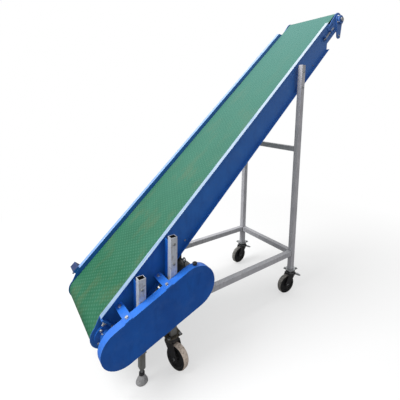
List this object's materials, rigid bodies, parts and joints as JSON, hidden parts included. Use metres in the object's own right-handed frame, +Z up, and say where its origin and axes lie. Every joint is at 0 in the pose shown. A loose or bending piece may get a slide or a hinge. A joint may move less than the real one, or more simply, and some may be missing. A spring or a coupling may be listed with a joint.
{
  "type": "inclined belt conveyor section",
  "caption": "Inclined mobile belt conveyor: flat belt on a slider bed between channel side frames, guarded motor drive at the low end, square-tube frame on casters and levelling feet.",
  "frame": {"origin": "on the floor, under the centre of the whole conveyor's bounding box", "axes": "+X along the conveyor towards its raised end, +Y across it away from the guarded drive, +Z up"},
  "size_m": [2.0798, 0.8434, 2.3402],
  "materials": {
    "bed_steel": "plain sheet steel",
    "black_rubber": "matt black rubber",
    "black_steel": "black painted pressed steel",
    "blue_paint": "glossy royal blue enamel on steel",
    "cast_iron": "grey cast iron",
    "green_belt": "matt green conveyor belting with a fine textured top",
    "grey_paint": "satin grey paint on steel tube",
    "motor_paint": "dark grey motor enamel",
    "stainless_tube": "brushed bright steel tube",
    "wheel_plastic": "cream polymer tread on a black core",
    "zinc_steel": "zinc-plated steel"
  },
  "bodies": {
    "frame": {"caster_leg_far": "stainless_tube", "caster_leg_near": "stainless_tube", "caster_leg_spacer_far": "blue_paint", "caster_leg_spacer_near": "blue_paint", "caster_plate_front_far": "zinc_steel", "caster_plate_front_near": "zinc_steel", "caster_plate_rear_far": "zinc_steel", "caster_plate_rear_near": "zinc_steel", "conveyor_belt": "green_belt", "cross_member_high": "blue_paint", "cross_member_low": "blue_paint", "cross_member_middle": "blue_paint", "drive_bearing_far": "blue_paint", "drive_bearing_near": "blue_paint", "foot_leg_far": "stainless_tube", "foot_leg_near": "stainless_tube", "foot_leg_spacer_far": "blue_paint", "foot_leg_spacer_near": "blue_paint", "front_crossbar": "grey_paint", "gear_case": "motor_paint", "guard_cover": "blue_paint", "guard_strap_high": "blue_paint", "guard_strap_low": "blue_paint", "lifting_eye": "zinc_steel", "motor_body": "motor_paint", "motor_shelf": "grey_paint", "rail_far": "grey_paint", "rail_near": "grey_paint", "rear_crossbar_lower": "grey_paint", "rear_crossbar_upper": "grey_paint", "rear_leg_far": "grey_paint", "rear_leg_near": "grey_paint", "side_frame_far": "blue_paint", "side_frame_near": "blue_paint", "slider_bed": "bed_steel", "v_belt": "black_rubber"},
    "drive_drum": {"drive_drum": "zinc_steel", "drum_sheave": "cast_iron"},
    "motor_output": {"motor_sheave": "cast_iron"},
    "takeup": {"takeup_plate_near": "blue_paint", "takeup_plate_far": "blue_paint", "head_bearing_near": "blue_paint", "head_bearing_far": "blue_paint", "takeup_screw_near": "zinc_steel", "takeup_screw_far": "zinc_steel"},
    "head_drum": {"head_drum": "zinc_steel"},
    "return_roller_low": {"return_roller_low": "zinc_steel"},
    "return_roller_high": {"return_roller_high": "zinc_steel"},
    "swivel_front_near": {"caster_fork_front_near": "black_steel"},
    "wheel_front_near": {"caster_wheel_front_near": "wheel_plastic"},
    "swivel_front_far": {"caster_fork_front_far": "black_steel"},
    "wheel_front_far": {"caster_wheel_front_far": "wheel_plastic"},
    "swivel_rear_near": {"caster_fork_rear_near": "black_steel"},
    "wheel_rear_near": {"caster_wheel_rear_near": "wheel_plastic"},
    "pedal_rear_near": {"brake_pedal_rear_near": "black_steel"},
    "swivel_rear_far": {"caster_fork_rear_far": "black_steel"},
    "wheel_rear_far": {"caster_wheel_rear_far": "wheel_plastic"},
    "pedal_rear_far": {"brake_pedal_rear_far": "black_steel"},
    "foot_near": {"levelling_foot_near": "cast_iron"},
    "foot_far": {"levelling_foot_far": "cast_iron"}
  },
  "joints": [
    {"name": "drive_drum_spin", "type": "hinge", "parent": "frame", "child": "drive_drum", "pos_m": [-0.96319, 0.04005, 0.31281], "axis": [0, 1, 0], "continuous": true},
    {"name": "motor_output_spin", "type": "hinge", "parent": "frame", "child": "motor_output", "pos_m": [-0.51602, -0.35095, 0.469], "axis": [0, 1, 0], "continuous": true},
    {"name": "takeup_slide", "type": "slide", "parent": "frame", "child": "takeup", "axis": [0.7071, 0, 0.7071], "range_m": [-0.04, 0]},
    {"name": "head_drum_spin", "type": "hinge", "parent": "takeup", "child": "head_drum", "pos_m": [0.97979, 0.04005, 2.28012], "axis": [0, 1, 0], "continuous": true},
    {"name": "return_roller_low_spin", "type": "hinge", "parent": "frame", "child": "return_roller_low", "pos_m": [-0.50343, 0.04005, 0.69309], "axis": [0, 1, 0], "continuous": true},
    {"name": "return_roller_high_spin", "type": "hinge", "parent": "frame", "child": "return_roller_high", "pos_m": [0.66329, 0.04005, 1.85982], "axis": [0, 1, 0], "continuous": true},
    {"name": "swivel_front_near_turn", "type": "hinge", "parent": "frame", "child": "swivel_front_near", "pos_m": [-0.62902, -0.30355, 0.1637], "axis": [0, 0, 1], "continuous": true},
    {"name": "wheel_front_near_spin", "type": "hinge", "parent": "swivel_front_near", "child": "wheel_front_near", "pos_m": [-0.61737, -0.34702, 0.075], "axis": [-0.9659, -0.2588, 0], "continuous": true},
    {"name": "swivel_front_far_turn", "type": "hinge", "parent": "frame", "child": "swivel_front_far", "pos_m": [-0.62902, 0.38365, 0.1637], "axis": [0, 0, 1], "continuous": true},
    {"name": "wheel_front_far_spin", "type": "hinge", "parent": "swivel_front_far", "child": "wheel_front_far", "pos_m": [-0.67131, 0.36826, 0.075], "axis": [-0.342, 0.9397, 0], "continuous": true},
    {"name": "swivel_rear_near_turn", "type": "hinge", "parent": "frame", "child": "swivel_rear_near", "pos_m": [0.46698, -0.26525, 0.1637], "axis": [0, 0, 1], "continuous": true},
    {"name": "wheel_rear_near_spin", "type": "hinge", "parent": "swivel_rear_near", "child": "wheel_rear_near", "pos_m": [0.42242, -0.25899, 0.075], "axis": [0.1392, 0.9903, 0], "continuous": true},
    {"name": "pedal_rear_near_press", "type": "hinge", "parent": "swivel_rear_near", "child": "pedal_rear_near", "pos_m": [0.47886, -0.26692, 0.144], "axis": [0.1392, 0.9903, 0], "range_deg": [0, 15]},
    {"name": "swivel_rear_far_turn", "type": "hinge", "parent": "frame", "child": "swivel_rear_far", "pos_m": [0.46698, 0.34535, 0.1637], "axis": [0, 0, 1], "continuous": true},
    {"name": "wheel_rear_far_spin", "type": "hinge", "parent": "swivel_rear_far", "child": "wheel_rear_far", "pos_m": [0.42209, 0.34221, 0.075], "axis": [-0.0698, 0.9976, 0], "continuous": true},
    {"name": "pedal_rear_far_press", "type": "hinge", "parent": "swivel_rear_far", "child": "pedal_rear_far", "pos_m": [0.47895, 0.34619, 0.144], "axis": [-0.0698, 0.9976, 0], "range_deg": [0, 15]},
    {"name": "foot_near_height", "type": "slide", "parent": "frame", "child": "foot_near", "axis": [0, 0, 1], "range_m": [-0.04, 0.017]},
    {"name": "foot_far_height", "type": "slide", "parent": "frame", "child": "foot_far", "axis": [0, 0, 1], "range_m": [-0.04, 0.017]}
  ],
  "couplings": [
    {"joint": "motor_output_spin", "follows": "drive_drum_spin", "ratio": 0.6962},
    {"joint": "head_drum_spin", "follows": "drive_drum_spin", "ratio": 1.3179},
    {"joint": "return_roller_low_spin", "follows": "drive_drum_spin", "ratio": -3.6943},
    {"joint": "return_roller_high_spin", "follows": "drive_drum_spin", "ratio": -3.6943}
  ]
}
